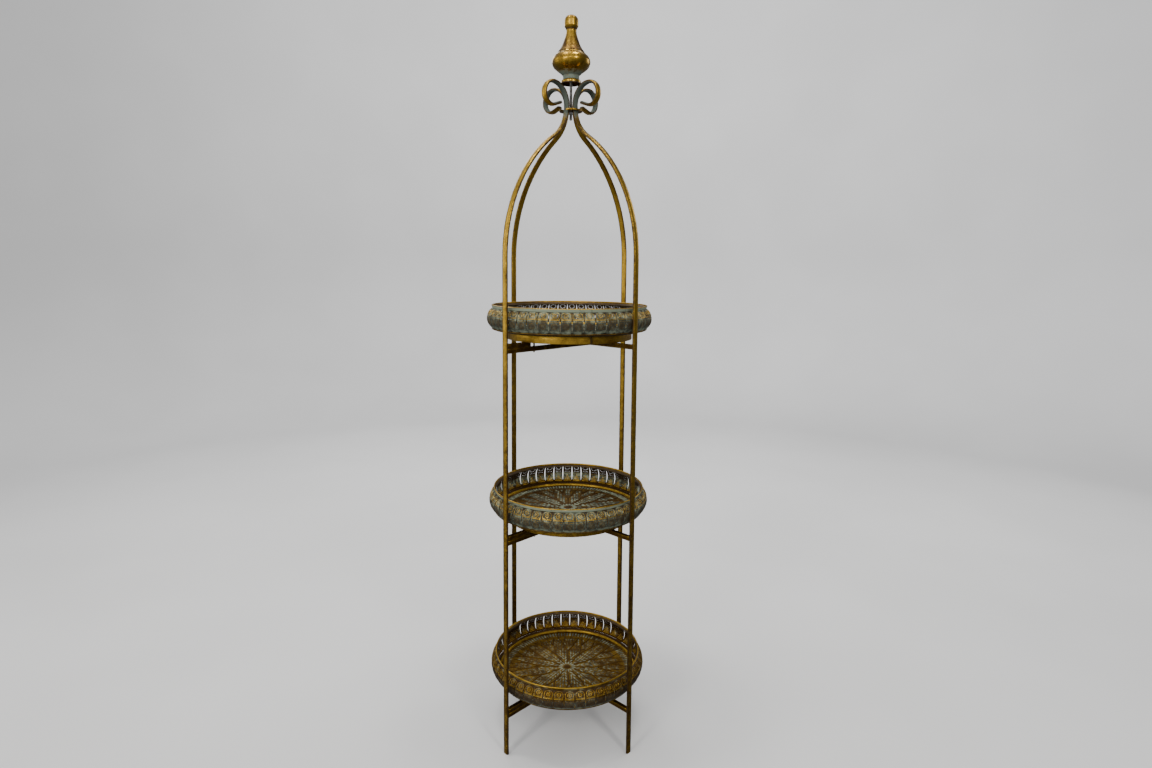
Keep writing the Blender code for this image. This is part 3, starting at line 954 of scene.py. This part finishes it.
def make_nut(finish):
    """Hexagon nut with chamfered corners and a plain bore."""
    low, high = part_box("stud_nut")
    flats = min(high.x, high.y)
    sides, bore = 48, 3.3 * MM
    chamfer = flats * 0.97
    loops = []
    for edge, sign in ((low.z, 1), (high.z, -1)):
        hexagon = []
        for side in range(sides):
            angle = tau * side / sides
            sector = (degrees(angle) + (0 if high.x < high.y else 30)) % 60 - 30
            reach = flats / cos(radians(sector))
            slope = max(0.0, reach - chamfer) * tan(radians(30))
            hexagon.append(spun(reach, 0.0, edge + sign * slope, angle))
        loops.append([ring(bore, edge, sides), ring(chamfer, edge, sides), hexagon])
    points = [point for loop in loops[0] + loops[1][::-1] for point in loop]
    shape = Shape(points, ring_faces(6, sides, closed=True), [0.6] * len(points))
    attach(shape.build("stud_nut_hexagon", finish, sharp=25.0), "frame", "stud_nut")


# Materials: aged brass, brown in its hollows, gold on what is rubbed, green where it was wet

GOLD = (0.57, 0.350, 0.042)
BROWN = (0.070, 0.034, 0.007)
# SHADE_AND_GRIME: the near black that soot mixes in, for real stains and for painted shade
SHADE_AND_GRIME = (0.022, 0.020, 0.012)
DARK_VERDIGRIS = (0.045, 0.056, 0.038)
PALE_VERDIGRIS = (0.285, 0.330, 0.230)
DULL_VERDIGRIS = (0.125, 0.155, 0.120)


class Graph:
    """Short calls for the nodes of one material or world."""

    def __init__(self, data):
        data.use_nodes = True
        self.data, self.tree = data, data.node_tree
        self.place = self.node("TexCoord", {}).outputs

    def plug(self, socket, value):
        if isinstance(value, bpy.types.NodeSocket):
            self.tree.links.new(value, socket)
        else:
            socket.default_value = (*value, 1.0) if isinstance(value, tuple) else value

    def node(self, kind, inputs, **settings):
        """New node with its settings, and its inputs by name or number."""
        node = self.tree.nodes.new("ShaderNode" + kind)
        for name, value in settings.items():
            setattr(node, name, value)
        for name, value in inputs.items():
            self.plug(node.inputs[name], value)
        return node

    def noise(self, scale, detail=4.0, roughness=0.55, distortion=0.0):
        inputs = {"Vector": self.place["Object"], "Scale": scale, "Detail": detail,
                  "Roughness": roughness, "Distortion": distortion}
        return self.node("TexNoise", inputs).outputs["Fac"]

    def attribute(self, name):
        return self.node("Attribute", {}, attribute_name=name).outputs["Fac"]

    def height(self):
        return self.node("SeparateXYZ", {0: self.place["Object"]}).outputs["Z"]

    def spread(self, value, low, high, start=0.0, end=1.0):
        """Value mapped from low..high to start..end, held at the ends."""
        inputs = {"Value": value, "From Min": low, "From Max": high, "To Min": start, "To Max": end}
        return self.node("MapRange", inputs, interpolation_type="SMOOTHSTEP").outputs["Result"]

    def times(self, value, factor):
        return self.node("Math", {0: value, 1: factor}, operation="MULTIPLY").outputs[0]

    def total(self, first, *others):
        for other in others:
            first = self.node("Math", {0: first, 1: other}, operation="ADD").outputs[0]
        return first

    def swing(self, noise, amount):
        """Noise centred on nothing, times amount."""
        return self.times(self.total(noise, -0.5), amount)

    def mix(self, factor, first, second):
        inputs = {"Factor": factor, 6: first, 7: second}
        return self.node("Mix", inputs, data_type="RGBA").outputs[2]

    def bump(self, height, strength, distance):
        inputs = {"Strength": strength, "Distance": distance, "Height": height}
        return self.node("Bump", inputs).outputs["Normal"]

    def finish(self, shader="Principled BSDF", **inputs):
        """Set the shader's inputs by name, and give the material or world."""
        for name, value in inputs.items():
            self.plug(self.tree.nodes[shader].inputs[name.replace("_", " ")], value)
        return self.data


def aged_brass(name, rub=0.5, mottle=0.5, green=0.0, cling=0.5, ragged=0.7, roughness=0.3,
               low_shade=0.0, pale=PALE_VERDIGRIS, grit=0.5):
    """Aged brass. rub is how much gold shows, green how much verdigris, cling how far it keeps
    to the hollows, ragged how broken its edge is, mottle how patchy the brown is, low_shade how
    much painted shade darkens it low down, grit how rough it feels. Points bring relief, verdigris
    and soot (real stains and painted shade) of their own."""
    graph = Graph(bpy.data.materials.new(name))
    relief, wet, soot = (graph.attribute(layer) for layer in ("relief", "verdigris", "soot"))
    broad = graph.noise(17.0, 3.0, 0.6, 0.4)
    patch = graph.noise(90.0, 5.0, 0.62, 0.6)
    grain = graph.noise(420.0, 4.0, 0.6)
    fine = graph.noise(1500.0, 2.0, 0.5)
    # Gold or brown
    worn = graph.total(graph.times(relief, 0.75), rub - 0.45, graph.swing(patch, 1.8 * mottle),
                       graph.swing(broad, 1.1 * mottle), graph.swing(grain, 1.6 * mottle),
                       graph.times(soot, -0.7))
    # Painted shade: the brass is darker low down, where less light reaches
    if low_shade:
        worn = graph.total(worn, graph.spread(graph.height(), 0.1, 1.25, -low_shade, 0.0))
    worn = graph.spread(worn, 0.0, 1.0)
    # Verdigris over it, paler where it is thick, which on the band under the rims is also painted
    # light from above
    cover = graph.total(graph.times(relief, -1.6 * cling), green, graph.times(wet, 1.3),
                        graph.swing(patch, 1.5 * ragged), graph.swing(grain, 1.2 * ragged),
                        graph.swing(broad, ragged))
    cover = graph.spread(cover, 0.30, 0.70)
    bloom_and_light = graph.spread(graph.total(patch, graph.times(wet, 0.26)), 0.40, 0.72)
    colour = graph.mix(cover, graph.mix(worn, BROWN, GOLD), graph.mix(bloom_and_light, DARK_VERDIGRIS, pale))
    # Darkening over both from soot: real stains in some places, painted shade in others
    grime_and_shade_mix = graph.times(soot, graph.spread(grain, 0.25, 0.6, 0.95, 0.6))
    bare = graph.spread(graph.total(cover, grime_and_shade_mix), 0.0, 1.0, 1.0, 0.12)
    dull = graph.total(graph.spread(worn, 0.0, 1.0, roughness + 0.22, roughness),
                       graph.times(cover, 0.35), graph.spread(fine, 0.3, 0.7, -0.05, 0.07))
    dull.node.use_clamp = True
    crust = graph.total(graph.times(cover, graph.times(grain, 0.9)), graph.times(fine, 0.25),
                        graph.times(patch, 0.35))
    return graph.finish(Base_Color=graph.mix(grime_and_shade_mix, colour, SHADE_AND_GRIME), Metallic=bare, Roughness=dull,
                        Normal=graph.bump(crust, grit, 0.3 * MM))


def steel_finish():
    graph = Graph(bpy.data.materials.new("zinc_steel"))
    tone = graph.spread(graph.noise(160.0, 4.0), 0.35, 0.7)
    grain = graph.noise(900.0, 3.0)
    return graph.finish(Base_Color=graph.mix(tone, (0.19, 0.20, 0.20), (0.36, 0.36, 0.34)),
                        Metallic=1.0, Roughness=graph.spread(grain, 0.3, 0.7, 0.34, 0.52),
                        Normal=graph.bump(grain, 0.3, 0.1 * MM))


# Studio

def studio_floor():
    """Pale round floor that sweeps up into a low wall, far enough out for every view."""
    radius, sweep, top = 3.4, 1.2, 4.4
    outline = [(0.0, 0.0), (radius, 0.0)]
    outline += [(radius + sweep * sin(radians(a)), sweep * (1 - cos(radians(a))))
                for a in range(10, 91, 10)]
    outline.append((radius + sweep, top))
    graph = Graph(bpy.data.materials.new("studio_paper"))
    tone = graph.spread(graph.noise(1.3, 2.0), 0.3, 0.7)
    paper = graph.finish(Base_Color=graph.mix(tone, (0.77, 0.768, 0.76), (0.81, 0.808, 0.80)),
                         Roughness=0.9)
    floor = flipped(turned(outline, 96)).build("studio_floor", paper, sharp=80.0)
    # The brass is lit by the studio's lights and its dark side, not by the pale paper
    floor.visible_glossy = False
    floor.visible_diffuse = False


MIDDLE = (0.0, 0.0, 0.9)
WARM, WHITE = (1.0, 0.98, 0.95), (1.0, 1.0, 1.0)


def soft_light(name, place, size, power, colour=WARM, aim=MIDDLE):
    data = bpy.data.lights.new(name, "AREA")
    data.shape = "RECTANGLE"
    data.size, data.size_y = size
    data.energy = power
    data.color = colour
    light = bpy.data.objects.new(name, data)
    light.location = place
    light.rotation_euler = (Vector(aim) - Vector(place)).to_track_quat("-Z", "Y").to_euler()
    bpy.context.scene.collection.objects.link(light)


def soft_sky():
    """World that is bright from the front left and above, and dim on the far side."""
    graph = Graph(bpy.data.worlds.new("studio"))
    bright_side = Vector((-0.55, -0.70, 0.45)).normalized()
    facing = graph.node("VectorMath", {0: graph.place["Generated"], 1: bright_side},
                        operation="DOT_PRODUCT").outputs["Value"]
    bpy.context.scene.world = graph.finish("Background", Color=(0.86, 0.87, 0.90),
                                           Strength=graph.spread(facing, -0.3, 1.0, 0.17, 0.95))


def light_studio():
    """Upright soft boxes at the front left and right, small ones above, and lights behind."""
    soft_light("key_left", (-1.8, -2.5, 2.0), (0.6, 1.8), 40.0)
    soft_light("front", (-0.2, -2.9, 2.5), (0.3, 0.4), 9.0)
    soft_light("key_right", (1.5, -2.7, 2.3), (0.4, 1.4), 30.0)
    soft_light("side_left", (-2.9, 0.1, 1.6), (0.7, 2.0), 9.0)
    soft_light("above_left", (-0.42, -0.08, 2.8), (0.3, 0.3), 11.0)
    soft_light("above_right", (0.32, -0.08, 2.8), (0.3, 0.3), 9.0)
    soft_light("back", (-1.2, 2.6, 2.6), (1.6, 1.2), 25.0, WHITE)
    soft_light("back_right", (2.6, 1.5, 2.0), (0.8, 1.6), 18.0, WHITE)
    soft_light("backdrop", (0.0, 1.6, 3.6), (2.4, 1.0), 75.0, WHITE, aim=(0.0, 4.4, 1.0))
    soft_sky()


CAMERA_PLACE = (-0.0214, -1.5239, 1.0822)
CAMERA_HEADING, CAMERA_DROP, CAMERA_ROLL = 1.40, 9.62, 0.48
CAMERA_LENS = 21.35


def place_camera():
    """Camera at standing height close in front, tipped a little down."""
    data = bpy.data.cameras.new("camera")
    data.lens = CAMERA_LENS
    data.sensor_width = 36.0
    data.clip_start = 0.05
    camera = bpy.data.objects.new("camera", data)
    place = Matrix.Translation(CAMERA_PLACE)
    for angle, axis in ((-CAMERA_HEADING, "Z"), (90 - CAMERA_DROP, "X"), (CAMERA_ROLL, "Z")):
        place @= Matrix.Rotation(radians(angle), 4, axis)
    camera.matrix_world = place
    bpy.context.scene.collection.objects.link(camera)
    bpy.context.scene.camera = camera


# The whole stand

def tray_finish(tier, green, rub, leaf_green):
    """Materials of a tray: more verdigris on the top and middle trays, more gold on the bottom."""
    return {
        "wall": aged_brass("wall_brass_" + tier, rub=rub, mottle=0.45, green=green, cling=0.7,
                           ragged=0.45, grit=0.9),
        "pan": aged_brass("pan_brass_" + tier, rub=0.43, green=green + 0.1, cling=0.8,
                          ragged=0.45),
        "trunks": aged_brass("trunk_brass_" + tier, rub=rub - 0.72, mottle=0.3, green=-0.2,
                             cling=0.0, ragged=0.2),
        "leaves": aged_brass("leaf_brass_" + tier, rub=rub - 0.3, mottle=0.4,
                             green=leaf_green, cling=0.0, ragged=0.75, grit=0.8),
        "rim": aged_brass("rim_brass_" + tier, rub=0.3, mottle=0.4, green=0.35, cling=0.5,
                          ragged=0.4)}


def make_stand():
    make_tray("top", 3, tray_finish("top", 0.72, 0.42, 1.0), 2.2 * MM, (-0.3, 0.1), 0.93)
    make_tray("middle", 5, tray_finish("middle", 0.70, 0.44, 1.0), 2.2 * MM, (-0.3, 0.1), 0.8)
    make_tray("bottom", 8, tray_finish("bottom", 0.44, 0.32, 0.6), 1.4 * MM, (-0.9, 0.0), 0.6)
    # The uprights and hoops get painted shade low down
    make_uprights(aged_brass("upright_brass", rub=0.42, mottle=0.55, green=-0.25, low_shade=0.35,
                             cling=0.35, ragged=0.5, roughness=0.28, pale=DULL_VERDIGRIS,
                             grit=0.85))
    bar = aged_brass("bar_brass", rub=0.32, green=-0.15, cling=0.4, roughness=0.34)
    braze = aged_brass("braze_brass", rub=0.1, mottle=0.8, cling=0.3)
    pin = aged_brass("pin_brass", rub=0.1, mottle=0.3, green=-0.3, roughness=0.4)
    make_bars(bar, braze, pin)
    make_hoops(aged_brass("hoop_brass", rub=0.52, mottle=0.4, green=-0.3, roughness=0.32,
                          low_shade=0.3))
    steel = steel_finish()
    bowl = aged_brass("bowl_brass", rub=0.34, mottle=0.6, green=-0.05, cling=0.4, ragged=0.6,
                      roughness=0.17, pale=DULL_VERDIGRIS)
    spire = aged_brass("spire_brass", rub=0.26, mottle=0.6, green=-0.15, cling=0.4, roughness=0.25)
    make_finial(spire, bowl, steel)
    make_stud(steel)
    make_nut(steel)
    refinish("collar_plate",
             aged_brass("collar_brass", rub=0.75, mottle=0.6, green=0.15, cling=0.0))


place_camera()
light_studio()
studio_floor()
make_stand()
